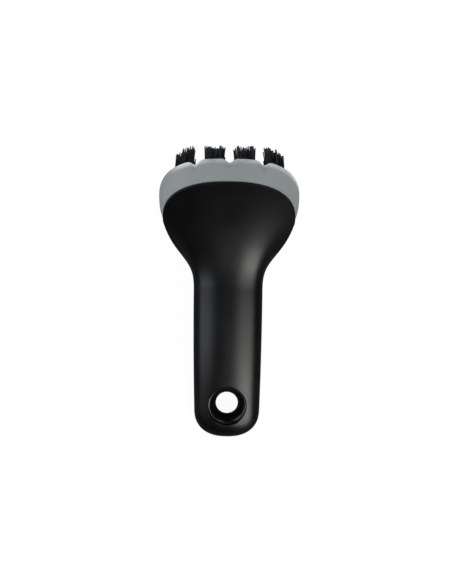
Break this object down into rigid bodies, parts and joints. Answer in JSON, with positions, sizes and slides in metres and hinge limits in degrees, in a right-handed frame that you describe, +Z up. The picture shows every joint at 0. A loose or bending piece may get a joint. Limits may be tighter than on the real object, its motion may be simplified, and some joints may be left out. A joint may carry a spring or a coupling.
{
  "type": "grill brush",
  "caption": "Hand-held grill brush: soft black handle with a hang hole, ramping up to a wide head whose grey scalloped block holds columns of short stiff bristles for cleaning between ridges.",
  "frame": {"origin": "bottom centre of the bounding box, on the table top under the middle of the brush as it lies on its bristle tips and the end of its handle", "axes": "+Y from the end of the handle toward the bristles, +Z up, +X to the right seen from behind the handle, as in the picture"},
  "size_m": [0.0756, 0.158, 0.053],
  "materials": {
    "grip": "satin",
    "core": "gloss",
    "block": "matte",
    "bristle": "satin",
    "anchor": "plain wire"
  },
  "bodies": {
    "root": {"handle_core": "core", "handle_grip": "grip", "brush_block": "block", "bristle_column_1": "bristle", "bristle_column_2": "bristle", "bristle_column_3": "bristle", "bristle_column_4": "bristle", "tuft_anchor_01": "anchor", "tuft_anchor_02": "anchor", "tuft_anchor_03": "anchor", "tuft_anchor_04": "anchor", "tuft_anchor_05": "anchor", "tuft_anchor_06": "anchor", "tuft_anchor_07": "anchor", "tuft_anchor_08": "anchor", "tuft_anchor_09": "anchor", "tuft_anchor_10": "anchor", "tuft_anchor_11": "anchor", "tuft_anchor_12": "anchor", "tuft_anchor_13": "anchor", "tuft_anchor_14": "anchor", "tuft_anchor_15": "anchor", "tuft_anchor_16": "anchor", "tuft_anchor_17": "anchor", "tuft_anchor_18": "anchor", "tuft_anchor_19": "anchor", "tuft_anchor_20": "anchor", "tuft_anchor_21": "anchor", "tuft_anchor_22": "anchor", "tuft_anchor_23": "anchor", "tuft_anchor_24": "anchor", "tuft_anchor_25": "anchor", "tuft_anchor_26": "anchor", "tuft_anchor_27": "anchor", "tuft_anchor_28": "anchor", "tuft_anchor_29": "anchor", "tuft_anchor_30": "anchor", "tuft_anchor_31": "anchor", "tuft_anchor_32": "anchor", "tuft_anchor_33": "anchor", "tuft_anchor_34": "anchor", "tuft_anchor_35": "anchor", "tuft_anchor_36": "anchor", "tuft_anchor_37": "anchor", "tuft_anchor_38": "anchor", "tuft_anchor_39": "anchor", "tuft_anchor_40": "anchor", "tuft_anchor_41": "anchor", "tuft_anchor_42": "anchor", "tuft_anchor_43": "anchor", "tuft_anchor_44": "anchor", "tuft_anchor_45": "anchor", "tuft_anchor_46": "anchor", "tuft_anchor_47": "anchor", "tuft_anchor_48": "anchor"}
  },
  "joints": []
}
